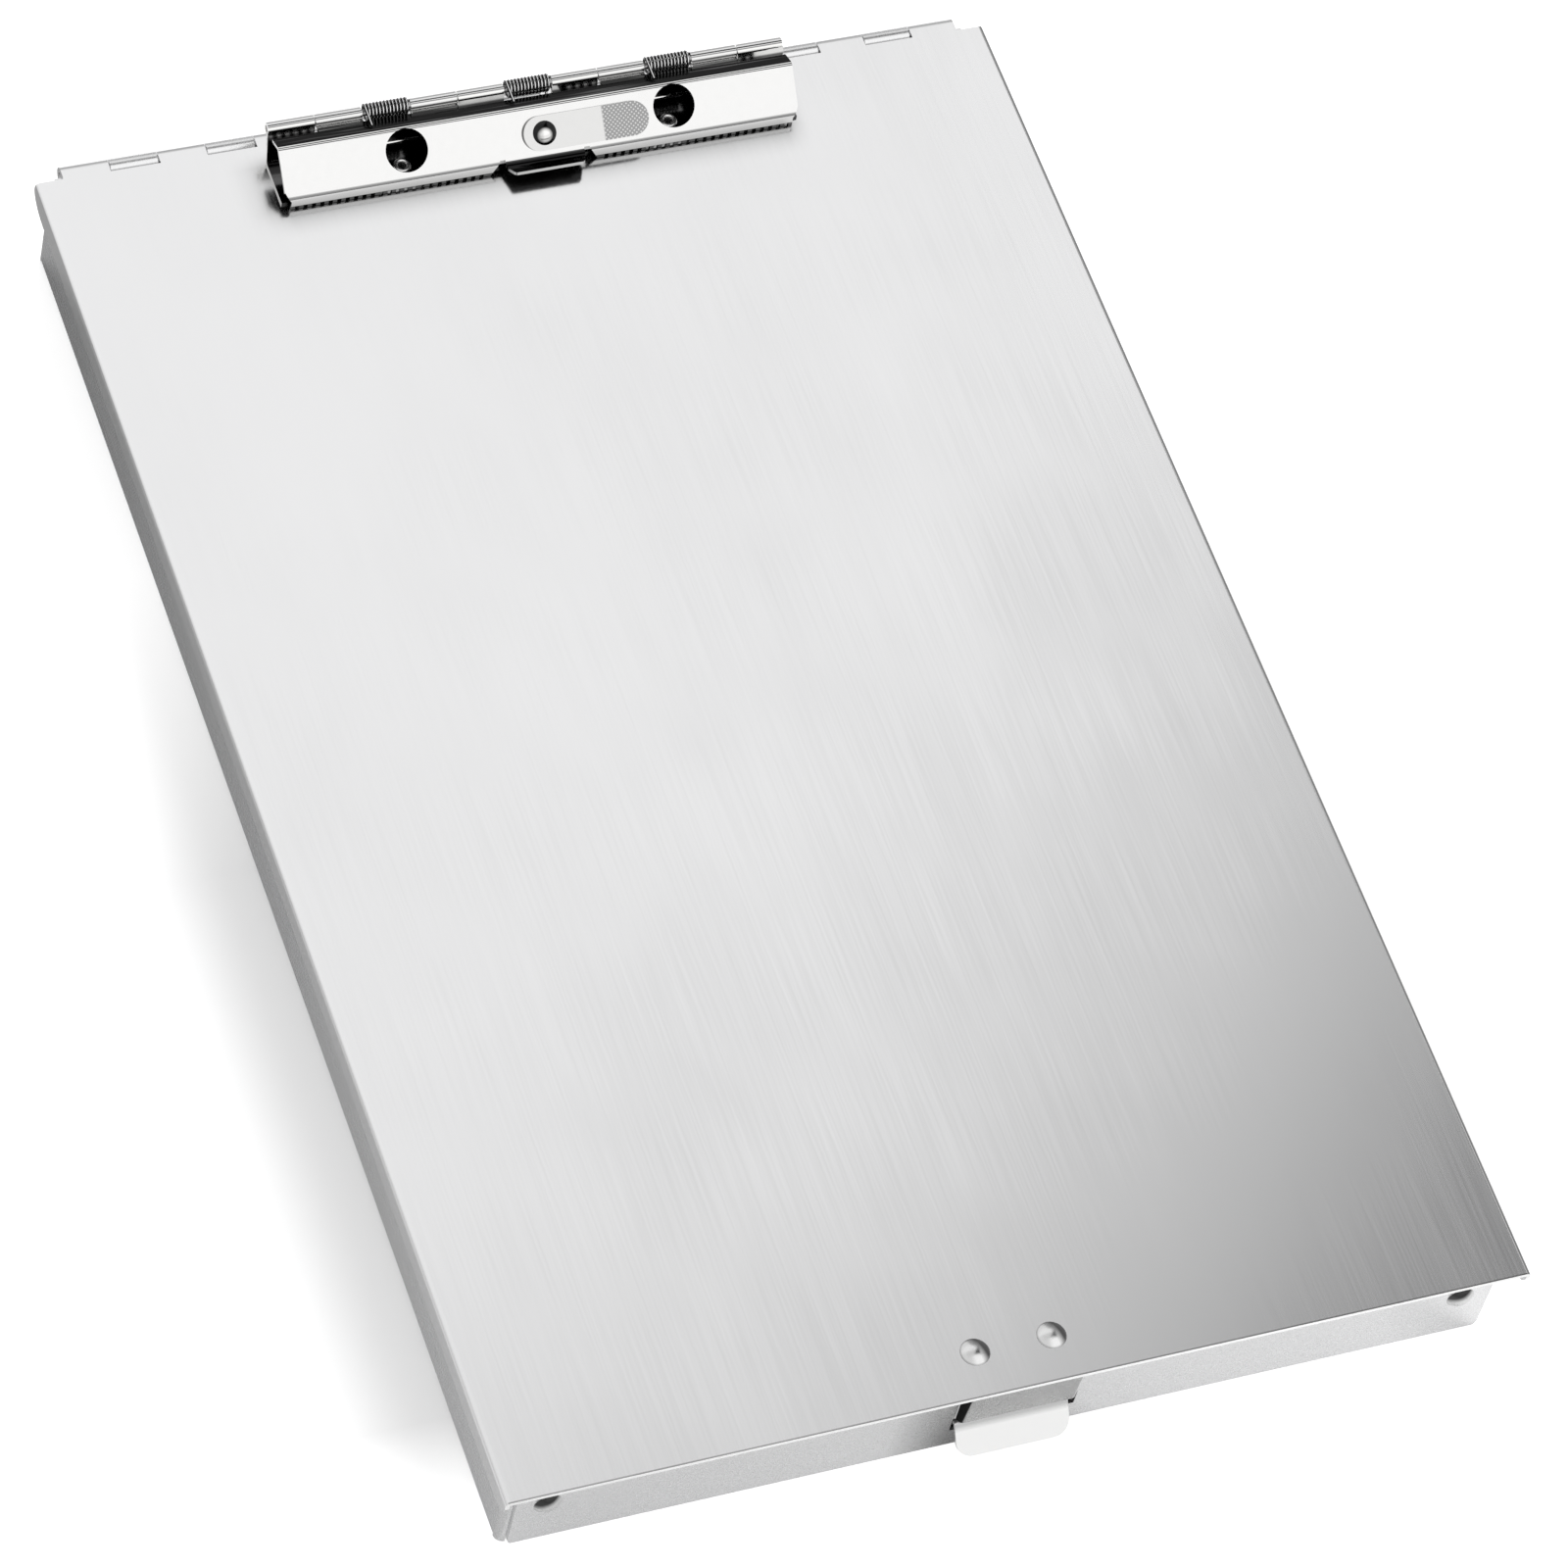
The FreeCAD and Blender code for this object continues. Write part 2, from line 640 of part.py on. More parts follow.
def make_clip_jaw():
    """Jaw with its knuckles, toothed lip, thumb tab, access holes and lever rivet hole."""
    touch, way = tangent_point(jaw_top, clip_axis, clip_bore, -1)
    tip = on_lid(jaw_tip_ahead, jaw_tip_gap)
    path = [touch, jaw_top, jaw_lip, tip]
    jaw = bent_sheet(across(path, jaw_width / 2), [jaw_top_bend, jaw_lip_bend], clip_sheet,
                     ACROSS * jaw_width)
    jaw = jaw.cut(Part.makeCompound(lip_cuts())).cut(Part.makeCompound(jaw_windows(touch)))
    jaw = jaw.cut(Part.makeCompound(lip_teeth()))
    pieces = [jaw, thumb_tab()]
    for index in (1, 3, 7, 9):
        left, right = knuckle_span(index, clip_pitch, clip_slots, clip_slot_gap)
        stem = way_angle(way) - math.pi / 2
        pieces.append(curl(clip_axis, clip_barrel, clip_bore, stem, -1, left, right, curl_gap))
    jaw = fused(pieces)
    depth = clip_sheet + overrun
    places = [on_plate(side * access_hole_spacing / 2, access_hole_down, overrun) for side in (-1, 1)]
    holes = [Part.makeCylinder(access_hole_radius, depth + overrun, place, jaw_out * -1) for place in places]
    pivot = on_plate(lever_pivot_across, lever_down, 0)
    holes.append(hole(pivot, jaw_out, lever_rivet_shank + rivet_gap, clip_sheet))
    return jaw.cut(Part.makeCompound(holes))


def make_clip_pin():
    length = clip_width - 2 * clip_pin_inset
    return Part.makeCylinder(clip_pin_radius, length, clip_axis - ACROSS * (length / 2), ACROSS)


def make_swivel_lever():
    """Lever with round ends, made flat and then laid on the jaw's plate."""
    half = lever_width / 2
    first = -lever_pivot_in + half
    last = lever_length - lever_pivot_in - half
    ends = [Part.makeCylinder(half, lever_sheet, V(place, 0, 0), UP) for place in (first, last)]
    lever = fused([block(V(first, -half, 0), V(last, half, lever_sheet))] + ends)
    lever = lever.cut(hole(V(0, 0, lever_sheet), UP, lever_rivet_shank + rivet_gap, lever_sheet))
    turn = FreeCAD.Rotation(ACROSS, math.degrees(UP.getAngle(jaw_out)))
    lever.Placement = FreeCAD.Placement(on_plate(lever_pivot_across, lever_down, running_gap), turn)
    return lever


def make_lever_rivet():
    grip = clip_sheet + lever_sheet + 2 * running_gap
    place = on_plate(lever_pivot_across, lever_down, lever_sheet + 2 * running_gap)
    return domed_rivet(place, jaw_out, lever_rivet_head, lever_rivet_dome, lever_rivet_shank, grip,
                       lever_rivet_tail, lever_rivet_tail_height)


def biarc(start, way_in, end, way_out):
    """Two tangent arcs between two points of a curve with known ways."""
    chord = end - start
    both = way_in + way_out
    spread = 2 * (1 - way_in.dot(way_out))
    reach = (math.sqrt(chord.dot(both) ** 2 + spread * chord.dot(chord)) - chord.dot(both)) / spread
    first = start + way_in * reach
    second = end - way_out * reach
    joint = (first + second) * 0.5
    return [corner_arc(start, first, joint), corner_arc(joint, second, end)]


def corner_arc(start, corner, end):
    """Arc that touches both legs of a corner."""
    first = start - corner
    inward = (first + (end - corner)).normalize()
    half = first.getAngle(inward)
    centre = corner + inward * (first.Length / math.cos(half))
    return arc(start, centre - inward * (first.Length * math.tan(half)), end)


def spring_route(middle):
    """Centre line of one torsion spring: leg on the jaw, coil, leg behind the base's wall."""
    rise = spring_pitch / (2 * math.pi)
    speed = math.hypot(spring_radius, rise)
    left = middle - spring_turns * spring_pitch / 2

    def point(angle):
        out = V(0, math.cos(angle), math.sin(angle)) * spring_radius
        return clip_axis + out + ACROSS * (left + rise * (first - angle))

    def way(angle):
        return (V(0, math.sin(angle), -math.cos(angle)) * spring_radius + ACROSS * rise) * (1 / speed)

    touch, arrive = tangent_point(jaw_top, clip_axis, clip_bore, -1)
    normal = ACROSS.cross(arrive)
    seat = touch - arrive * spring_leg_reach + normal * (spring_wire / 2 + spring_seat_gap)
    on_coil, toward = tangent_point(seat, clip_axis, spring_radius, 1)
    first = way_angle(on_coil - clip_axis)
    front_leg = (on_coil - seat).Length
    foot_corner = on_lid(clip_foot_back, 0)
    wall_way = tangent_point(foot_corner, clip_axis, clip_bore, 1)[1]
    wall_back = wall_way.cross(ACROSS)
    beside_wall = clip_bore - spring_wire / 2 - spring_seat_gap
    rest = clip_axis - wall_way * spring_leg_drop - wall_back * beside_wall
    leave, down = tangent_point(rest, clip_axis, spring_radius, -1)
    last = way_angle(leave - clip_axis)
    total = 2 * math.pi * spring_turns + (first - last) % (2 * math.pi)
    halves = max(1, round(total / math.pi))
    angles = [first - total * step / halves for step in range(halves + 1)]
    edges = [line(point(first) - way(first) * front_leg, point(first))]
    for a, b in zip(angles, angles[1:]):
        edges += biarc(point(a), way(a), point(b), way(b))
    edges.append(line(point(angles[-1]), point(angles[-1]) + way(angles[-1]) * (leave - rest).Length))
    return edges


def least_gap(edges):
    """Smallest distance between the wire's surface and another turn of the same wire."""
    points = []
    for edge in edges:
        points += edge.discretize(9)[:-1]
    along = [0]
    for a, b in zip(points, points[1:]):
        along.append(along[-1] + (b - a).Length)
    apart = math.pi * spring_radius
    best = min((p - q).Length for i, p in enumerate(points) for j, q in enumerate(points)
               if along[j] - along[i] > apart)
    return best - spring_wire


def make_spring(middle):
    edges = spring_route(middle)
    gap = least_gap(edges)
    print("clip spring: least gap to itself", round(gap, 3), "mm,", spring_turns, "turns")
    start = edges[0].Vertexes[0].Point
    way = (edges[0].Vertexes[-1].Point - start).normalize()
    side = ACROSS.cross(way).normalize()
    reaches = [(side * math.cos(turn) + way.cross(side) * math.sin(turn)) * (spring_wire / 2)
               for turn in (2 * math.pi * corner / spring_wire_sides for corner in range(spring_wire_sides))]
    corners = [start + reach for reach in reaches]
    return Part.Wire(edges).makePipeShell([Part.makePolygon(corners + corners[:1])], True, False)


def make_parts():
    parts = {"box_tray": make_box_tray(), "main_hinge_pin": make_hinge_pin()}
    for name, (place, outward) in corner_rivet_places().items():
        parts[name] = make_corner_rivet(place, outward)
    parts["lid"] = make_lid()
    parts["latch_foot"] = make_latch_foot()
    parts["latch_tongue"] = make_latch_tongue()
    parts["clip_base"] = make_clip_base()
    parts["clip_jaw"] = make_clip_jaw()
    parts["clip_hinge_pin"] = make_clip_pin()
    for side, place in zip(("left", "right"), latch_rivet_places()):
        parts["latch_rivet_" + side] = make_latch_rivet(place)
    for side, place in zip(("left", "right"), clip_rivet_places()):
        parts["clip_rivet_" + side] = tubular_rivet(place, clip_sheet + lid_sheet)
    for side, slot in (("left", -3), ("middle", 0), ("right", 3)):
        parts["clip_spring_" + side] = make_spring(slot * clip_pitch)
    parts["swivel_lever"] = make_swivel_lever()
    parts["lever_rivet"] = make_lever_rivet()
    return parts


os.makedirs("parts", exist_ok=True)
for name, shape in make_parts().items():
    shape.exportStep("parts/" + name + ".step")
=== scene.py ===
import json
import math

import bmesh
import bpy
from mathutils import Matrix, Vector

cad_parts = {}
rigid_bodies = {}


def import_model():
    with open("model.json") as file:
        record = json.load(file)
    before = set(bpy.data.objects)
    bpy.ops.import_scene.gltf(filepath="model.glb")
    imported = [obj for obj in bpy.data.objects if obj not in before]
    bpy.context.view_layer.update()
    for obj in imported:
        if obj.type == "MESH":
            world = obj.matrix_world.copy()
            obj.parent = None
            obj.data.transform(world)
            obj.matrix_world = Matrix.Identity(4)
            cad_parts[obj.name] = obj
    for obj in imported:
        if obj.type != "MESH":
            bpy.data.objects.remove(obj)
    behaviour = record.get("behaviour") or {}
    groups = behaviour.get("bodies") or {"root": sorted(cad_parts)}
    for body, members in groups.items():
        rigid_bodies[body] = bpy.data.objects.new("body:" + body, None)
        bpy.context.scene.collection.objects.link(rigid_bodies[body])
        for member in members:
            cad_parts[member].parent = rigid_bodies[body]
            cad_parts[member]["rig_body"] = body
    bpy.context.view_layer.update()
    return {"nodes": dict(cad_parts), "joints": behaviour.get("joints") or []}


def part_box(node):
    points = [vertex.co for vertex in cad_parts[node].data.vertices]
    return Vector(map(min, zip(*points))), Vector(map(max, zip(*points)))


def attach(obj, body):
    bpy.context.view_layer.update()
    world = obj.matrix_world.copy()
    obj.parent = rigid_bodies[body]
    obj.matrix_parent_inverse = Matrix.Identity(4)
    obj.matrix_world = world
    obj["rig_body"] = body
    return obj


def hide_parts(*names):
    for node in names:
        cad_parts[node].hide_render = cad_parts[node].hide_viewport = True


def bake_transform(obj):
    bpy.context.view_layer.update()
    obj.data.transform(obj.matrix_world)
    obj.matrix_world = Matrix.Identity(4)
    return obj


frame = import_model()

# Lengths are in metres and in the part's own frame: x to the right, y to the rear, z up
mm = 0.001
to_right = Vector((1, 0, 0))
to_rear = Vector((0, 1, 0))
upward = Vector((0, 0, 1))

# Camera, fitted to the photograph's edges; pixels are those of the 1600 x 1600 photograph
photo_width_px = 1600
focal_px = 7919.1
sensor_width = 36.0
camera_place = Vector((-519.9, -848.9, 1397.8)) * mm
camera_looks = Vector((0.3082, 0.49164, -0.81443))
camera_down = Vector((-0.18449, -0.80897, -0.55815))
camera_near = 0.05
camera_far = 20.0

# Lamps
key_place = Vector((0.9, 1.1, 1.7))
key_size = 1.3
key_power = 32.0
fill_place = Vector((-1.4, -0.9, 1.5))
fill_size = 1.4
fill_power = 10.0

# Places on the part that the materials follow
lid_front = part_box("lid")[0].y
lever_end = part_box("swivel_lever")[1].x
pin_low, pin_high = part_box("clip_hinge_pin")
clip_axis = Vector((0, (pin_low.y + pin_high.y) / 2, (pin_low.z + pin_high.z) / 2))
lid_top = 27.4 * mm
teeth_rise = 0.95 * mm
teeth_top = lid_top + teeth_rise
plate_face = Vector((0, -0.6576, 0.7534))
tab_face = Vector((0, -0.777, 0.629))
wall_front = -172.05 * mm
bridge_left = -12.4 * mm


def feed(tree, socket, value):
    """Links a socket to another one, or sets it to a plain value."""
    if isinstance(value, bpy.types.NodeSocket):
        tree.links.new(value, socket)
    else:
        socket.default_value = value


def add(tree, kind, **values):
    """A node with its settings; names with capitals are sockets."""
    node = tree.nodes.new(kind)
    for key, value in values.items():
        if key[0].isupper():
            feed(tree, node.inputs[key.replace("_", " ")], value)
        else:
            setattr(node, key, value)
    return node


def maths(tree, operation, first, *others):
    """Values combined one after another, each a socket or a number."""
    for other in others:
        node = add(tree, "ShaderNodeMath", operation=operation)
        feed(tree, node.inputs[0], first)
        feed(tree, node.inputs[1], other)
        first = node.outputs["Value"]
    return first


def mixed(tree, kind, factor, first, second):
    """Value between two others, each a socket or a plain value."""
    node = add(tree, "ShaderNodeMix", data_type=kind, Factor=factor, A=first, B=second)
    return node.outputs["Result"]


def ramp(tree, value, start, end, low=0.0, high=1.0, interpolation="LINEAR"):
    """The value's stretch from start to end carried to low and high, and held beyond them."""
    node = add(tree, "ShaderNodeMapRange", interpolation_type=interpolation, Value=value,
               From_Min=start, From_Max=end, To_Min=low, To_Max=high)
    return node.outputs["Result"]


def shifted(edge, place):
    """Start and end of an edge that is given from a place."""
    return tuple(place + part for part in edge)


# Noise: its roughness, the range that most of it keeps to, and the detail of the coarse kind
noise_roughness = 0.55
noise_range = (0.3, 0.7)
coarse_detail = 2.0


def noise(tree, marks, detail):
    """Noise with so many marks per metre along each axis of the piece."""
    place = add(tree, "ShaderNodeTexCoord").outputs["Object"]
    stretched = add(tree, "ShaderNodeMapping", Vector=place, Scale=marks).outputs["Vector"]
    texture = add(tree, "ShaderNodeTexNoise", Vector=stretched, Scale=1.0, Detail=detail,
                  Roughness=noise_roughness)
    return texture.outputs["Fac"]


# Rolled sheet with a faint grain along the box and cloudy oxide
rolled_sheet = {"marks": (1900, 22, 1900), "detail": 4.0, "gloss": (-0.03, 0.03), "dull": 0.965,
                "cloud": (26, 17, 26), "cloud_gloss": (-0.02, 0.02), "bump": 0.05, "depth": 0.02 * mm}
# Aluminium rivets with fine wear from the setting tool
worn_rivet = {"marks": (700, 700, 700), "detail": 4.0, "gloss": (-0.05, 0.07), "dull": 0.92,
              "bump": 0.12, "depth": 0.03 * mm}
# Bright plating over rolled steel, whose waviness draws out the reflections
bright_plating = {"marks": (600, 600, 600), "detail": 4.0, "gloss": (-0.02, 0.04), "dull": 0.95,
                  "waves": (45, 120, 120), "bump": 0.25, "depth": 0.05 * mm}
# Wire and pins with draw marks along their length
drawn_steel = {"marks": (300, 2400, 2400), "detail": 3.0, "gloss": (-0.05, 0.06), "dull": 0.9,
               "bump": 0.15, "depth": 0.02 * mm}


class Metal:
    """Metal with fine marks, over which masks lay other greys and roughnesses.

    Its surface names the marks and waves per metre along each axis, how far the marks lower and raise the
    roughness, and the part of the base colour that stays where they are dullest.
    """

    def __init__(self, name, base, roughness, surface):
        self.material = bpy.data.materials.new(name)
        self.material.use_nodes = True
        self.tree = self.material.node_tree
        self.shader = self.tree.nodes["Principled BSDF"]
        self.shader.inputs["Metallic"].default_value = 1.0
        self.shader.inputs["Roughness"].default_value = roughness
        self.shader.inputs["Base Color"].default_value = (*base, 1)
        marks = noise(self.tree, surface["marks"], surface["detail"])
        self.set_gloss(marks, roughness, surface)
        self.set_colour(marks, base, surface["dull"])
        relief = noise(self.tree, surface["waves"], coarse_detail) if "waves" in surface else marks
        bump = add(self.tree, "ShaderNodeBump", Strength=surface["bump"], Distance=surface["depth"],
                   Height=relief)
        self.tree.links.new(bump.outputs["Normal"], self.shader.inputs["Normal"])

    def set_gloss(self, marks, roughness, surface):
        """Roughness that follows the marks, and the clouds where the surface has them."""
        gloss = ramp(self.tree, marks, *noise_range, *shifted(surface["gloss"], roughness))
        if "cloud" in surface:
            cloud = noise(self.tree, surface["cloud"], coarse_detail)
            wide = ramp(self.tree, cloud, *noise_range, *surface["cloud_gloss"])
            gloss = maths(self.tree, "ADD", gloss, wide)
        self.tree.links.new(gloss, self.shader.inputs["Roughness"])

    def set_colour(self, marks, base, dull):
        """Base colour that follows the marks."""
        dull_base = tuple(part * dull for part in base)
        colour = mixed(self.tree, "RGBA", marks, (*dull_base, 1), (*base, 1))
        self.tree.links.new(colour, self.shader.inputs["Base Color"])

    def facing(self, way, edge):
        """Mask that rises over an edge of the dot product of the piece's own surface and a way."""
        surface = add(self.tree, "ShaderNodeTexCoord").outputs["Normal"]
        dot = add(self.tree, "ShaderNodeVectorMath", operation="DOT_PRODUCT")
        feed(self.tree, dot.inputs[0], surface)
        feed(self.tree, dot.inputs[1], way)
        return ramp(self.tree, dot.outputs["Value"], *edge)

    def band(self, way, edges):
        """Mask that rises over the first two edges of the dot product and falls over the last two."""
        start, full, last, gone = edges
        return maths(self.tree, "MULTIPLY", self.facing(way, (start, full)), self.facing(way, (gone, last)))

    def beyond(self, axis, edge):
        """Mask that rises over an edge of the piece's own coordinate."""
        place = add(self.tree, "ShaderNodeTexCoord").outputs["Object"]
        parts = add(self.tree, "ShaderNodeSeparateXYZ", Vector=place)
        return ramp(self.tree, parts.outputs[axis], *edge)

    def lay(self, name, kind, value, masks):
        """Lays a value over one of the shader's sockets where all the masks are 1."""
        socket = self.shader.inputs[name]
        below = socket.links[0].from_socket
        mask = maths(self.tree, "MULTIPLY", *masks)
        self.tree.links.new(mixed(self.tree, kind, mask, below, value), socket)

    def paint(self, grey, *masks):
        self.lay("Base Color", "RGBA", (grey, grey, grey, 1), masks)

    def roughen(self, roughness, *masks):
        self.lay("Roughness", "FLOAT", roughness, masks)


def dress(metal, *node_names):
    """Gives CAD nodes their metal; their own normals keep bends smooth and sheets flat."""
    for name in node_names:
        mesh = frame["nodes"][name].data
        mesh.materials.clear()
        mesh.materials.append(metal.material)
        mesh.polygons.foreach_set("use_smooth", [True] * len(mesh.polygons))


# Lid
lid_base = (0.86, 0.86, 0.865)
lid_roughness = 0.17
lid_flat = (0.8, 0.9)
# Painted shade: a dark line on top along the lid's front edge
edge_shade_line = (0.45 * mm, 0.25 * mm)
edge_shade_grey = 0.42
# Painted highlight: the lid's front cut face is painted bright
cut_highlight_grey = 0.99
cut_roughness = 0.55
# Painted shade along the lid's right bend
right_bend = (0.10, 0.30, 0.60, 0.80)
right_bend_shade_grey = 0.22
reflection_left = (-11 * mm, 1 * mm)
reflection_right = (4 * mm, -3 * mm)
reflection_front = (-26 * mm, -17 * mm)
reflection_rear = (1 * mm, -4 * mm)
reflection_grey = 0.36


def dress_lid():
    """Front edge with painted shade on top and a painted highlight on its cut, painted shade on the right
    bend and the clip's painted soft reflection.
    """
    lid = Metal("lid_sheet", lid_base, lid_roughness, rolled_sheet)
    top = lid.facing(upward, lid_flat)
    cut = lid.facing(-to_rear, lid_flat)
    lid.paint(edge_shade_grey, lid.beyond("Y", shifted(edge_shade_line, lid_front)), top)
    lid.paint(cut_highlight_grey, cut)
    lid.roughen(cut_roughness, cut)
    lid.paint(right_bend_shade_grey, lid.band(to_right, right_bend))
    near_clip = (lid.beyond("X", shifted(reflection_left, pin_low.x)),
                 lid.beyond("X", shifted(reflection_right, pin_high.x)),
                 lid.beyond("Y", shifted(reflection_front, clip_axis.y)),
                 lid.beyond("Y", shifted(reflection_rear, clip_axis.y)))
    lid.paint(reflection_grey, *near_clip, *near_clip, top)
    dress(lid, "lid")


# Box
box_base = (0.84, 0.84, 0.845)
box_roughness = 0.27
wall_flat = (0.9, 0.99)
wall_skin = (0.30 * mm, 0.10 * mm)
# Painted shade on the front wall, deepening over 14 mm towards the bridge's left end
patch_left = (-14 * mm, 0.0)
patch_right = (6 * mm, 3 * mm)
slot_shade_grey = 0.34
# Painted shade over the face of the bridge
bridge_proud = (-0.05 * mm, -0.15 * mm)
bridge_foot = (11.8 * mm, 12.0 * mm)
bridge_shade_grey = 0.46
# Painted shade on the bridge's steep ends
steep_end = (0.20, 0.45)
steep_shade_grey = 0.01
steep_roughness = 0.7


def dress_box():
    """The drawn sheet round the pressed bridge: painted shade darkens its steep ends and face, and the wall
    beside them.
    """
    box = Metal("box_sheet", box_base, box_roughness, rolled_sheet)
    wall = box.facing(-to_rear, wall_flat)
    patch = (box.beyond("X", shifted(patch_left, bridge_left)),
             box.beyond("X", shifted(patch_right, bridge_left)),
             box.beyond("Y", shifted(wall_skin, wall_front)))
    box.paint(slot_shade_grey, *patch, wall)
    bridge = (box.beyond("Y", shifted(bridge_proud, wall_front)), box.beyond("Z", bridge_foot))
    box.paint(bridge_shade_grey, *bridge, wall)
    steep = box.facing(-to_right, steep_end)
    box.paint(steep_shade_grey, *bridge, steep)
    box.roughen(steep_roughness, *bridge, steep)
    dress(box, "box_tray")


# Clip's knuckles, whose bands follow how far the surface faces the rear
knuckle_rear = (-2.0 * mm, -1.7 * mm)
knuckle_foot = (0.0, 0.2 * mm)
# Painted reflections on the knuckles: a grey band, a dark line and a dark outline
knuckle_band = (-0.44, -0.36, 0.34, 0.42)
knuckle_band_reflection_grey = 0.82
knuckle_line = (-0.60, -0.52, -0.44, -0.38)
knuckle_line_reflection_grey = 0.22
knuckle_outline = (0.52, 0.70)
knuckle_outline_reflection_grey = 0.10


def paint_knuckles(plate):
    """Painted reflections above the clip's axis: a greyer band, a dark line before it and a dark outline
    behind it.
    """
    zone = (plate.beyond("Y", shifted(knuckle_rear, clip_axis.y)),
            plate.beyond("Z", shifted(knuckle_foot, clip_axis.z)))
    plate.paint(knuckle_band_reflection_grey, *zone, plate.band(to_rear, knuckle_band))
    plate.paint(knuckle_line_reflection_grey, *zone, plate.band(to_rear, knuckle_line))
    plate.paint(knuckle_outline_reflection_grey, *zone, plate.facing(to_rear, knuckle_outline))


# Clip's jaw
jaw_base = (0.835, 0.832, 0.825)
jaw_roughness = 0.09
# Painted shade in the recess behind the jaw's upper bend, with painted streaks of reflection in it
recess_rear = (-1.8 * mm, -2.4 * mm)
recess_face = Vector((0, 0.35, 0.937))
recess_flat = (0.96, 0.985)
recess_shade_grey = 0.004
streak_marks = (30, 1500, 1500)
streak_part = (0.56, 0.66)
streak_reflection_grey = 0.18
# Painted reflections: dark lines along the upper bend and the lip's bend
upper_bend = (0.42, 0.50, 0.58, 0.645)
upper_bend_reflection_grey = 0.16
lip_height = (4.4 * mm, 4.0 * mm)
lower_bend = (0.67, 0.76, 0.86, 0.94)
lower_bend_reflection_grey = 0.30
# Painted shade in the hollow in the lip
hollow_rearward = (-0.62, -0.50)
hollow_upward = (0.3, 0.5)
hollow_shade_grey = 0.02
# Painted shade on the inside of the jaw
inside_face = Vector((0, 0.35, -0.94))
inside_flat = (0.15, 0.45)
inside_shade_grey = 0.04
# Painted shade on the teeth
teeth_edge = (0.1 * mm, 0.0)
teeth_shade_grey = 0.16


def dress_jaw():
    """Painted shade with painted reflection streaks in the recess, painted reflection lines along the bends,
    and painted shade in the hollow in the lip, on the inside and on the teeth.
    """
    jaw = Metal("jaw_plate", jaw_base, jaw_roughness, bright_plating)
    paint_knuckles(jaw)
    ahead = jaw.beyond("Y", shifted(recess_rear, clip_axis.y))
    recess = (jaw.facing(recess_face, recess_flat), ahead)
    streaks = ramp(jaw.tree, noise(jaw.tree, streak_marks, coarse_detail), *streak_part)
    jaw.paint(recess_shade_grey, *recess)
    jaw.paint(streak_reflection_grey, *recess, streaks)
    jaw.paint(upper_bend_reflection_grey, jaw.band(-to_rear, upper_bend), ahead)
    lip = jaw.beyond("Z", shifted(lip_height, teeth_top))
    jaw.paint(lower_bend_reflection_grey, jaw.band(-to_rear, lower_bend), lip)
    hollow = (jaw.facing(to_rear, hollow_rearward), jaw.facing(upward, hollow_upward))
    jaw.paint(hollow_shade_grey, *hollow, lip)
    jaw.paint(inside_shade_grey, jaw.facing(inside_face, inside_flat))
    jaw.paint(teeth_shade_grey, jaw.beyond("Z", shifted(teeth_edge, teeth_top)))
    dress(jaw, "clip_jaw")


# Clip's base
base_base = (0.90, 0.895, 0.88)
base_roughness = 0.09
base_shade = (-0.6 * mm, -1.1 * mm)
base_flat = (0.90, 0.98)
foot_grey = 0.10
base_wall_grey = 0.06


def dress_base():
    """Its foot and the front of its wall, shaded below the jaw, with a bright bend between."""
    base = Metal("base_plate", base_base, base_roughness, bright_plating)
    paint_knuckles(base)
    below = base.beyond("Z", shifted(base_shade, clip_axis.z))
    base.paint(foot_grey, below, base.facing(upward, base_flat))
    base.paint(base_wall_grey, below, base.facing(-to_rear, base_flat))
    dress(base, "clip_base")


# Swivel lever
lever_base = (0.72, 0.718, 0.71)
lever_roughness = 0.14
knurl_length = 11.0 * mm
knurl_start = (-0.2 * mm, 0.2 * mm)
knurl_scale = 420.0
knurl_lean = math.radians(45)
knurl_roughness = 0.34
# Painted shade in the knurl's grooves
groove_height = (0.75, 0.25)
groove_shade_grey = 0.33
lever_flat = (0.9, 0.98)
# Painted shade on the lever's cut edges
lever_side = (0.8, 0.5)
lever_side_shade_grey = 0.12


def knurl_grooves(tree):
    """Mask of the grooves between two families of leaning waves."""
    place = add(tree, "ShaderNodeTexCoord").outputs["Object"]
    waves = []
    for lean in (-knurl_lean, knurl_lean):
        turned = add(tree, "ShaderNodeMapping", vector_type="POINT", Vector=place,
                     Rotation=(-plate_face.angle(upward), 0, lean))
        wave = add(tree, "ShaderNodeTexWave", wave_type="BANDS", bands_direction="X", Scale=knurl_scale,
                   Vector=turned.outputs["Vector"])
        waves.append(wave.outputs["Fac"])
    return ramp(tree, maths(tree, "MULTIPLY", *waves), *groove_height)


def dress_lever():
    """Fine crossed knurling on the free end drawn as painted shade in its grooves, and painted shade
    darkening the cut edges all round.
    """
    lever = Metal("lever_plate", lever_base, lever_roughness, bright_plating)
    zone = (lever.beyond("X", shifted(knurl_start, lever_end - knurl_length)),
            lever.facing(plate_face, lever_flat))
    lever.paint(groove_shade_grey, *zone, knurl_grooves(lever.tree))
    lever.roughen(knurl_roughness, *zone)
    lever.paint(lever_side_shade_grey, lever.facing(plate_face, lever_side))
    dress(lever, "swivel_lever")


# Latch strip
latch_base = (0.975, 0.975, 0.97)
latch_roughness = 0.22
# Painted shade on the finger tab towards its root
tab_root = (9.9 * mm, 11.3 * mm)
tab_flat = (0.80, 0.95)
tab_root_shade_grey = 0.46


def dress_latch():
    """The finger tab stays bright at its end and has painted shade towards its root."""
    latch = Metal("latch_plate", latch_base, latch_roughness, bright_plating)
    latch.paint(tab_root_shade_grey, latch.beyond("Z", tab_root), latch.facing(tab_face, tab_flat))
    dress(latch, "latch_foot", "latch_tongue")


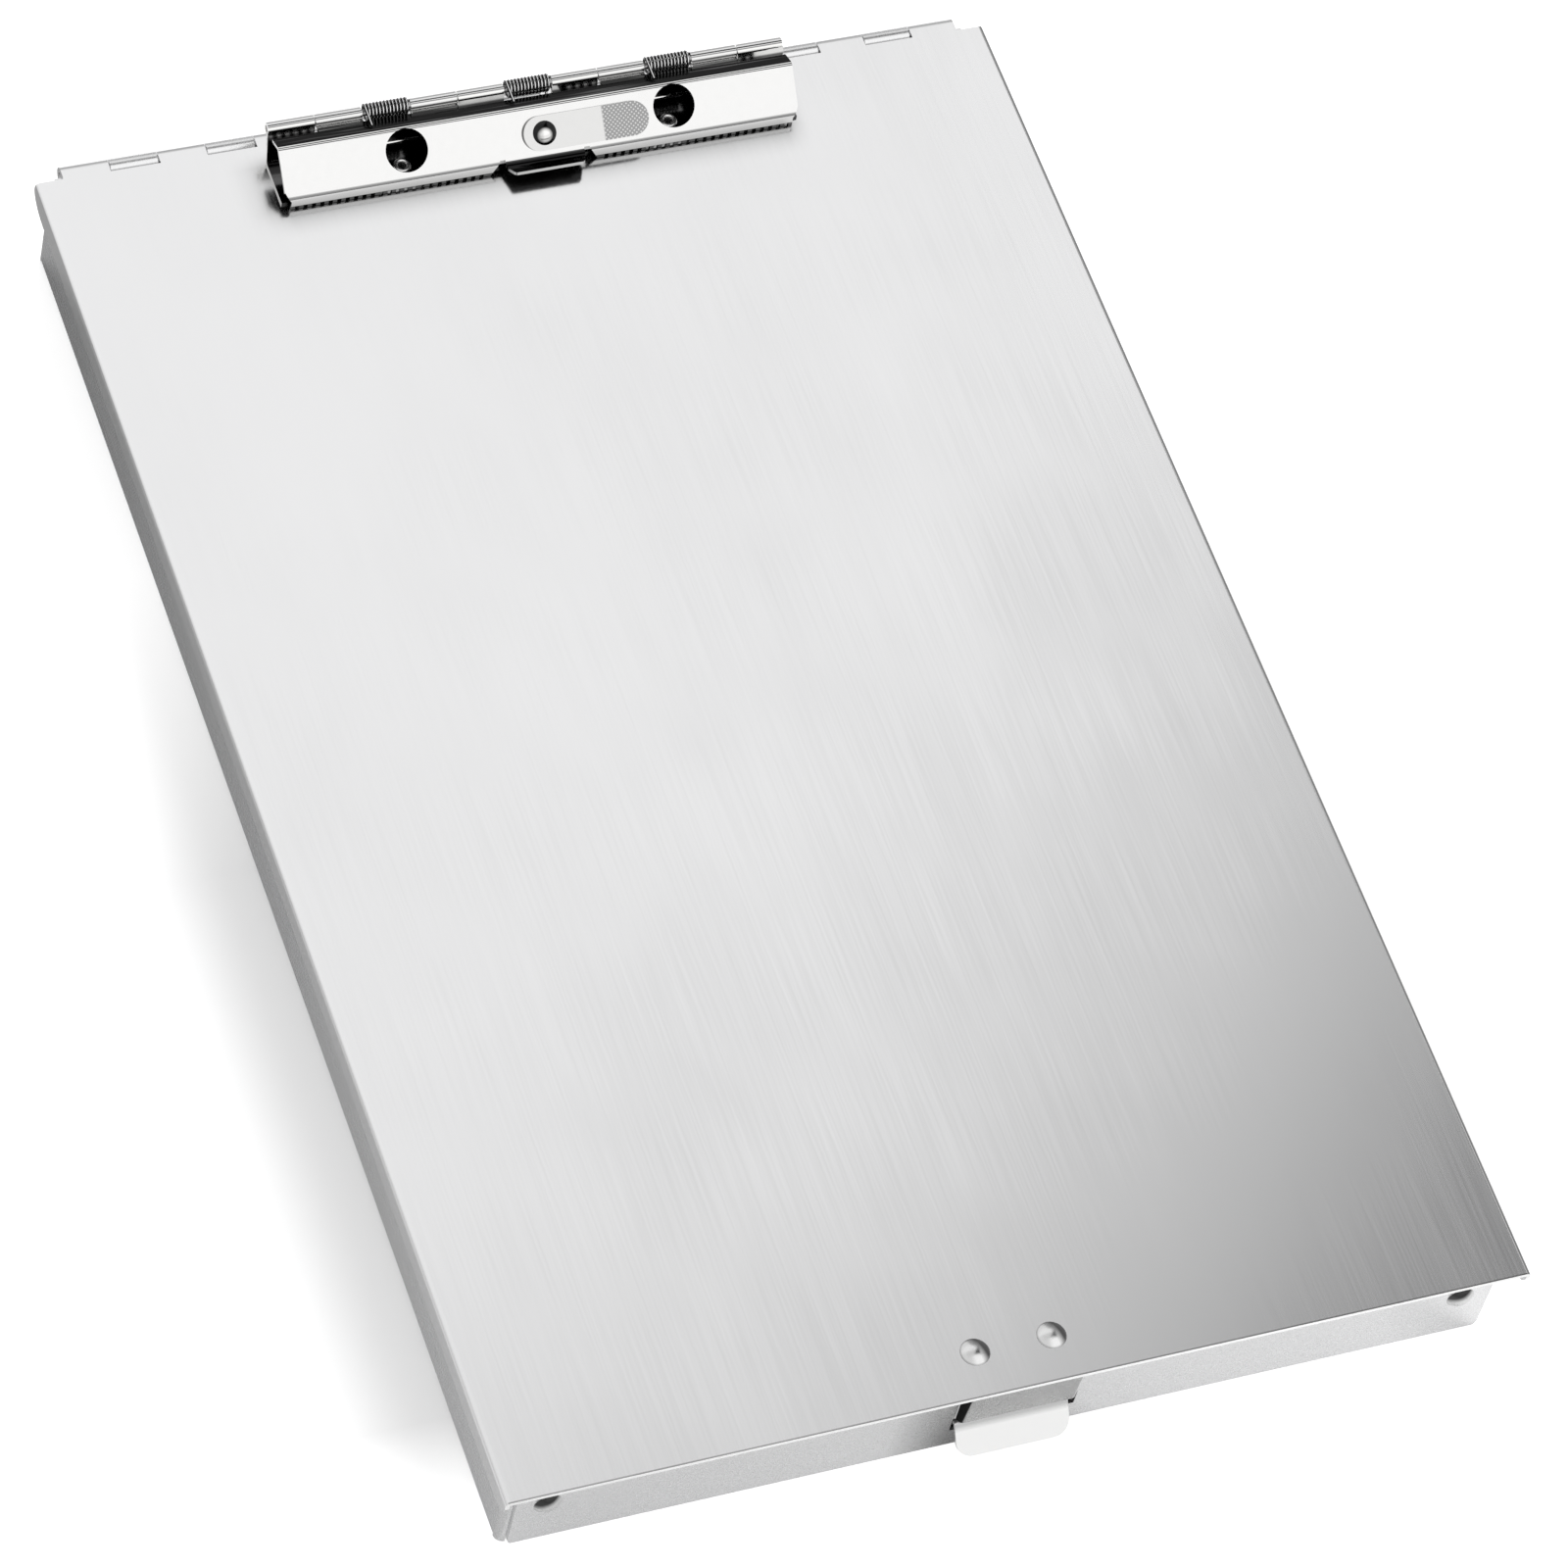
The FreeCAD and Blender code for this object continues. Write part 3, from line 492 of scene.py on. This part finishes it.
# Hinge pins
pin_base = (0.70, 0.70, 0.70)
pin_roughness = 0.30


def dress_pins():
    dress(Metal("pin_steel", pin_base, pin_roughness, drawn_steel), "main_hinge_pin", "clip_hinge_pin")


# Turned rivets
turned_steps = 48
dome_rings = 10
roll_rings = 8


def turned_rings(form, profile):
    """Rings of a turned form with their crease marks; a point on the axis makes a ring of one."""
    rings = []
    for radius, height, crease in profile:
        count = turned_steps if radius else 1
        angles = [2 * math.pi * step / turned_steps for step in range(count)]
        points = [(radius * math.cos(angle), radius * math.sin(angle), height) for angle in angles]
        rings.append(([form.verts.new(point) for point in points], crease))
    return rings


def join_rings(form, lower, upper):
    """Faces between two rings, of which one may be a single point."""
    for step in range(turned_steps):
        after = (step + 1) % turned_steps
        if len(lower) == 1:
            form.faces.new((lower[0], upper[after], upper[step]))
        elif len(upper) == 1:
            form.faces.new((lower[step], lower[after], upper[0]))
        else:
            form.faces.new((lower[step], lower[after], upper[after], upper[step]))


def turned_piece(name, profile, place, outward, metal):
    """Piece turned about its axis; a profile point is its radius, its height and whether it is a crease."""
    form = bmesh.new()
    rings = turned_rings(form, profile)
    for (lower, _), (upper, _) in zip(rings, rings[1:]):
        join_rings(form, lower, upper)
    if len(rings[0][0]) > 1:
        join_rings(form, rings[-1][0], rings[0][0])
    for face in form.faces:
        face.smooth = True
    for ring, crease in rings:
        if crease and len(ring) > 1:
            for step in range(turned_steps):
                form.edges.get((ring[step], ring[(step + 1) % turned_steps])).smooth = False
    bmesh.ops.recalc_face_normals(form, faces=form.faces)
    turn = upward.rotation_difference(outward).to_matrix().to_4x4()
    form.transform(Matrix.Translation(place) @ turn)
    mesh = bpy.data.meshes.new(name + "_turned")
    form.to_mesh(mesh)
    form.free()
    mesh.materials.append(metal.material)
    piece = bpy.data.objects.new(name + "_turned", mesh)
    bpy.context.scene.collection.objects.link(piece)
    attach(piece, frame["nodes"][name]["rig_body"])
    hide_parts(name)


def shank_profile(bore, tail, tail_height, shank, grip, head):
    """Half section of a rivet from the end of its tail up to its seat and out to its head's edge."""
    low = -grip - tail_height
    return [(bore, low, bore > 0), (tail, low, True), (tail, -grip, True), (shank, -grip, True),
            (shank, 0, True), (head, 0, True)]


def dome_profile(head, dome, shank, grip, tail, tail_height):
    """Half section of a solid rivet with a domed head."""
    radius = (head ** 2 + dome ** 2) / (2 * dome)
    widest = math.asin(head / radius)
    profile = shank_profile(0, tail, tail_height, shank, grip, head)
    for band in range(1, dome_rings):
        angle = widest * (1 - band / dome_rings)
        profile.append((radius * math.sin(angle), dome - radius + radius * math.cos(angle), False))
    profile.append((0, dome, False))
    return profile


def tube_profile(bore, shank, grip, tail, tail_height, flange, flange_height):
    """Half section of a tubular rivet with its edge rolled outwards on top."""
    roll = (flange - bore) / 2
    profile = shank_profile(bore, tail, tail_height, shank, grip, flange)
    for band in range(roll_rings + 1):
        angle = math.pi * band / roll_rings
        height = flange_height - roll + roll * math.sin(angle)
        profile.append((bore + roll + roll * math.cos(angle), height, False))
    return profile


def add_rivet(name, profile, rise, outward, metal):
    """Turned rivet on the seat of its CAD node, whose head stands up by the rise."""
    low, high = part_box(name)
    reach = abs((high - low).dot(outward)) / 2 - rise
    turned_piece(name, profile, (low + high) / 2 + outward * reach, outward, metal)


# Corner rivets: head radius, dome, shank radius, grip, tail radius and tail height
corner_rivet = tuple(size * mm for size in (3.15, 1.5, 1.6, 2.05, 2.6, 0.9))
corner_base = (0.74, 0.74, 0.74)
corner_roughness = 0.28
# Painted shade on top of the corner rivets' domes, towards the left
corner_dark_way = Vector((-0.35, 0, 0.94))
corner_dark = (0.15, 0.45)
corner_shade_grey = 0.06


def add_corner_rivets():
    """Their domes have painted shade on top."""
    metal = Metal("corner_rivet_metal", corner_base, corner_roughness, worn_rivet)
    metal.paint(corner_shade_grey, metal.facing(corner_dark_way, corner_dark))
    for end, outward in (("front", -to_rear), ("rear", to_rear)):
        for side in ("left", "right"):
            name = end + "_" + side + "_corner_rivet"
            add_rivet(name, dome_profile(*corner_rivet), corner_rivet[1], outward, metal)


# Latch rivets, measured as the corner rivets are
latch_rivet = tuple(size * mm for size in (3.25, 1.3, 1.5, 1.7, 2.4, 0.8))
latch_rivet_base = (0.80, 0.80, 0.80)
latch_rivet_roughness = 0.24
# Painted shade on the latch rivets' right side and round their rims
latch_dark_way = Vector((0.94, 0.34, 0))
latch_dark = (-0.02, 0.36)
latch_rivet_shade_grey = 0.10
latch_rim = (0.79, 0.735)
latch_rim_shade_grey = 0.26


def latch_rivet_metal():
    """Painted shade, dark on the right side and greyer round the rim."""
    metal = Metal("latch_rivet_metal", latch_rivet_base, latch_rivet_roughness, worn_rivet)
    metal.paint(latch_rivet_shade_grey, metal.facing(latch_dark_way, latch_dark))
    metal.paint(latch_rim_shade_grey, metal.facing(upward, latch_rim))
    return metal


# Clip's tubular rivets: bore, shank radius, grip, tail radius and height, flange radius and height
clip_rivet = tuple(size * mm for size in (1.0, 1.5, 1.7, 2.9, 0.8, 2.1, 0.7))
clip_rivet_base = (0.95, 0.945, 0.94)
clip_rivet_roughness = 0.28


def add_lid_rivets():
    """Rivets of the latch strip and of the clip."""
    latch_metal = latch_rivet_metal()
    clip_metal = Metal("tube_rivet_metal", clip_rivet_base, clip_rivet_roughness, bright_plating)
    for side in ("left", "right"):
        add_rivet("latch_rivet_" + side, dome_profile(*latch_rivet), latch_rivet[1], upward, latch_metal)
        add_rivet("clip_rivet_" + side, tube_profile(*clip_rivet), clip_rivet[-1], upward, clip_metal)


# Lever rivet, measured as the corner rivets are; its seat is above the joint's point
lever_rivet = tuple(size * mm for size in (2.8, 1.3, 1.3, 1.6, 2.2, 0.6))
lever_seat = 0.9 * mm
lever_rivet_base = (0.90, 0.895, 0.88)
lever_rivet_roughness = 0.12
# Painted dark reflection round the lever rivet's bright middle
lever_bright_way = Vector((-0.08, -0.76, 0.645))
lever_rim = (0.965, 0.86)
lever_rim_reflection_grey = 0.03


def add_lever_rivet():
    """Its dome is bright in the middle with a painted dark reflection round it."""
    metal = Metal("lever_rivet_metal", lever_rivet_base, lever_rivet_roughness, bright_plating)
    metal.paint(lever_rim_reflection_grey, metal.facing(lever_bright_way, lever_rim))
    pivot = next(joint for joint in frame["joints"] if joint["name"] == "lever_swivel")["pos_m"]
    seat = Vector(pivot) + plate_face * lever_seat
    turned_piece("lever_rivet", dome_profile(*lever_rivet), seat, plate_face, metal)


# Coils of the clip's torsion springs; the bends are behind and above the clip's axis
coil_wire = 0.66 * mm
coil_radius = 1.84 * mm
coil_turns = 12
coil_pitch = 0.82 * mm
coil_points = 16
jaw_bend_at = (-7.6 * mm, 2.4 * mm)
foot_bend_at = (-3.0 * mm, -8.7 * mm)
clip_bore = 0.85 * mm
front_leg = 5.6 * mm
rear_leg = 5.4 * mm
seat_gap = 0.05 * mm
curve_order = 3
curve_steps = 3
wire_steps = 3
wire_base = (0.95, 0.95, 0.95)
wire_roughness = 0.16
# Painted shade on the flanks of the coils' turns
wire_flank = (0.16, 0.44)
wire_flank_shade_grey = 0.01


def from_axis(offset):
    """Side-view point of the clip, from its place behind and above the clip's axis."""
    return clip_axis + Vector((0, *offset))


def tangent_point(start, radius, side):
    """Where a straight line from start touches a circle round the clip's axis, and its way."""
    to_axis = clip_axis - start
    to_axis.x = 0
    lean = side * math.asin(radius / to_axis.length)
    way = Matrix.Rotation(lean, 3, "X") @ to_axis.normalized()
    return clip_axis + way.cross(to_right * -side) * radius, way


def angle_of(offset):
    return math.atan2(offset.z, offset.y)


def coil_route(middle):
    """Leg on the jaw, close turns round the pin, leg behind the base's wall."""
    arrive = tangent_point(from_axis(jaw_bend_at), clip_bore, -1)
    seat_way = to_right.cross(arrive[1])
    seat = arrive[0] - arrive[1] * front_leg + seat_way * (coil_wire / 2 + seat_gap)
    on_coil = tangent_point(seat, coil_radius, 1)[0]
    wall_way = tangent_point(from_axis(foot_bend_at), clip_bore, 1)[1]
    wall_back = wall_way.cross(to_right)
    rest = clip_axis - wall_way * rear_leg - wall_back * (clip_bore - coil_wire / 2 - seat_gap)
    leave = tangent_point(rest, coil_radius, -1)[0]
    first = angle_of(on_coil - clip_axis)
    total = 2 * math.pi * coil_turns + (first - angle_of(leave - clip_axis)) % (2 * math.pi)
    left = middle - coil_pitch * total / (4 * math.pi)
    steps = round(total / (2 * math.pi) * coil_points)
    points = [Vector((left, seat.y, seat.z))]
    for step in range(steps + 1):
        turned = total * step / steps
        points.append(Vector((left + coil_pitch * turned / (2 * math.pi),
                              clip_axis.y + coil_radius * math.cos(first - turned),
                              clip_axis.z + coil_radius * math.sin(first - turned))))
    points.append(Vector((points[-1].x, rest.y, rest.z)))
    return points


def wire_mesh(points):
    """Round wire along a route."""
    curve = bpy.data.curves.new("coil_route", "CURVE")
    curve.dimensions = "3D"
    curve.bevel_depth = coil_wire / 2
    curve.bevel_resolution = wire_steps
    curve.resolution_u = curve_steps
    curve.use_fill_caps = True
    spline = curve.splines.new("NURBS")
    spline.points.add(len(points) - 1)
    for control, point in zip(spline.points, points):
        control.co = (*point, 1)
    spline.order_u = curve_order
    spline.use_endpoint_u = True
    route = bpy.data.objects.new("coil_route", curve)
    mesh = bpy.data.meshes.new_from_object(route)
    bpy.data.objects.remove(route)
    mesh.polygons.foreach_set("use_smooth", [True] * len(mesh.polygons))
    return mesh


def coil(side, middle, metal):
    """Torsion spring in place of the CAD spring, wound between the jaw and the base."""
    points = coil_route(middle)
    mesh = wire_mesh(points)
    mesh.materials.clear()
    mesh.materials.append(metal.material)
    piece = bpy.data.objects.new("clip_coil_" + side, mesh)
    bpy.context.scene.collection.objects.link(piece)
    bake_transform(piece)
    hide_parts("clip_spring_" + side)


def add_coils():
    """The flanks of their turns have painted shade, where they see only each other."""
    metal = Metal("spring_wire", wire_base, wire_roughness, drawn_steel)
    for way in (-to_right, to_right):
        metal.paint(wire_flank_shade_grey, metal.facing(way, wire_flank))
    for side in ("left", "middle", "right"):
        low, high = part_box("clip_spring_" + side)
        coil(side, (low.x + high.x) / 2, metal)


# Floor; a ramp is its start, its end and its values there
floor_half = 3.0
floor_drop = 0.05 * mm
paper_grey = 0.80
glow_rear = (0.0, 0.08, 0.12, 0.42)
glow_front = (-0.172, -0.140, 0.60, 0.0)
# Painted light and shade on the table that the metal reflects, graded along x and y
table_along = (-0.10, 0.10, 0.76, 1.0)
table_right = (0.09, 0.12, 1.0, 0.72)
table_front = (-0.40, -0.26, 1.0, 0.0)
table_front_grey = 0.35
table_left = (-0.1125, -0.1115, 1.0, 0.0)
table_left_grey = (-0.18, 0.18, 0.62, 0.275)


def floor_material():
    """White paper that glows to the camera, and a table with painted light and shade graded across it in the
    reflections of the metal.
    """
    material = bpy.data.materials.new("floor_paper")
    material.use_nodes = True
    tree = material.node_tree
    tree.nodes.clear()
    place = add(tree, "ShaderNodeTexCoord").outputs["Object"]
    parts = add(tree, "ShaderNodeSeparateXYZ", Vector=place)
    x, y = parts.outputs["X"], parts.outputs["Y"]
    paper = add(tree, "ShaderNodeBsdfDiffuse", Color=(paper_grey, paper_grey, paper_grey, 1))
    strength = maths(tree, "ADD", ramp(tree, y, *glow_rear), ramp(tree, y, *glow_front))
    glow = add(tree, "ShaderNodeEmission", Strength=strength)
    seen = add(tree, "ShaderNodeAddShader")
    tree.links.new(paper.outputs[0], seen.inputs[0])
    tree.links.new(glow.outputs[0], seen.inputs[1])
    along = maths(tree, "MULTIPLY", ramp(tree, x, *table_along), ramp(tree, x, *table_right))
    ahead = mixed(tree, "FLOAT", ramp(tree, y, *table_front), along, table_front_grey)
    shade = mixed(tree, "FLOAT", ramp(tree, x, *table_left), ahead, ramp(tree, y, *table_left_grey))
    grey = add(tree, "ShaderNodeCombineColor", Red=shade, Green=shade, Blue=shade)
    table = add(tree, "ShaderNodeBsdfDiffuse", Color=grey.outputs["Color"])
    by_camera = add(tree, "ShaderNodeLightPath").outputs["Is Camera Ray"]
    either = add(tree, "ShaderNodeMixShader", Fac=by_camera)
    tree.links.new(table.outputs[0], either.inputs[1])
    tree.links.new(seen.outputs[0], either.inputs[2])
    add(tree, "ShaderNodeOutputMaterial", Surface=either.outputs[0])
    return material


def make_floor():
    mesh = bpy.data.meshes.new("floor")
    form = bmesh.new()
    corners = ((-1, -1), (1, -1), (1, 1), (-1, 1))
    form.faces.new([form.verts.new((x * floor_half, y * floor_half, -floor_drop)) for x, y in corners])
    form.to_mesh(mesh)
    form.free()
    floor = bpy.data.objects.new("floor", mesh)
    bpy.context.scene.collection.objects.link(floor)
    mesh.materials.append(floor_material())


# Studio by direction; a ramp is its start, its end and its values there
ceiling_slant = -1.2
ceiling_edge = (-0.074, 0.060, 0.08, 1.0)
ceiling_rear = (0.37, 0.47, 0.70, 1.0)
gap_left = (0.02, 0.16, 0.0, 1.0)
gap_right = (0.44, 0.60, 1.0, 0.0)
gap_rear = (0.45, 0.62, 0.0, 1.0)
gap_top = (0.56, 0.70, 0.45, 0.0)
front_wall = (0.06, -0.10, 0.0, 1.15)
front_foot = (0.02, 0.16, 0.15, 1.0)
front_left = (-0.35, 0.12, 0.70, 1.0)
left_wall = (-0.15, -0.6, 0.0, 0.8)
right_wall = (0.45, 0.64, 0.0, 0.9)
whole_foot = (0.40, 0.56, 0.84, 1.0)
seen_white = 1.05


def make_world():
    """A ceiling behind a slanting edge with a dim gap in it, and walls in front, left and right."""
    world = bpy.data.worlds.new("studio")
    bpy.context.scene.world = world
    world.use_nodes = True
    tree = world.node_tree
    tree.nodes.clear()
    way = add(tree, "ShaderNodeTexCoord").outputs["Generated"]
    parts = add(tree, "ShaderNodeSeparateXYZ", Vector=way)
    x, y, z = (parts.outputs[axis] for axis in "XYZ")

    def rise(value, edges):
        return ramp(tree, value, *edges, interpolation="SMOOTHSTEP")

    side = maths(tree, "ADD", y, maths(tree, "MULTIPLY", x, ceiling_slant))
    gap = maths(tree, "MULTIPLY", rise(x, gap_left), rise(x, gap_right), rise(y, gap_rear), rise(z, gap_top))
    open_part = maths(tree, "SUBTRACT", 1.0, gap)
    ceiling = maths(tree, "MULTIPLY", rise(side, ceiling_edge), ramp(tree, y, *ceiling_rear), open_part)
    front = maths(tree, "MULTIPLY", rise(y, front_wall), rise(z, front_foot), rise(x, front_left))
    light = maths(tree, "MAXIMUM", ceiling, front, rise(x, left_wall), rise(x, right_wall))
    light = maths(tree, "MULTIPLY", light, rise(z, whole_foot))
    by_camera = add(tree, "ShaderNodeLightPath").outputs["Is Camera Ray"]
    strength = mixed(tree, "FLOAT", by_camera, light, seen_white)
    back = add(tree, "ShaderNodeBackground", Color=(1, 1, 1, 1), Strength=strength)
    add(tree, "ShaderNodeOutputWorld", Surface=back.outputs[0])


def make_lamp(name, place, size, power):
    """Large soft lamp aimed at the box that the metal doesn't mirror."""
    data = bpy.data.lights.new(name, "AREA")
    data.size = size
    data.energy = power
    lamp = bpy.data.objects.new(name, data)
    lamp.location = place
    lamp.rotation_mode = "QUATERNION"
    lamp.rotation_quaternion = (-place).to_track_quat("-Z", "Y")
    lamp.visible_glossy = False
    bpy.context.scene.collection.objects.link(lamp)


def make_camera():
    data = bpy.data.cameras.new("camera")
    data.sensor_width = sensor_width
    data.lens = sensor_width * focal_px / photo_width_px
    data.clip_start = camera_near
    data.clip_end = camera_far
    camera = bpy.data.objects.new("camera", data)
    back = -camera_looks.normalized()
    right = (-camera_down).cross(back).normalized()
    turn = Matrix((right, back.cross(right), back)).transposed()
    camera.matrix_world = Matrix.Translation(camera_place) @ turn.to_4x4()
    bpy.context.scene.collection.objects.link(camera)
    bpy.context.scene.camera = camera


dress_lid()
dress_box()
dress_jaw()
dress_base()
dress_lever()
dress_latch()
dress_pins()
add_corner_rivets()
add_lid_rivets()
add_lever_rivet()
add_coils()
make_floor()
make_world()
make_lamp("key_lamp", key_place, key_size, key_power)
make_lamp("fill_lamp", fill_place, fill_size, fill_power)
make_camera()
bpy.context.scene.view_settings.view_transform = "Standard"
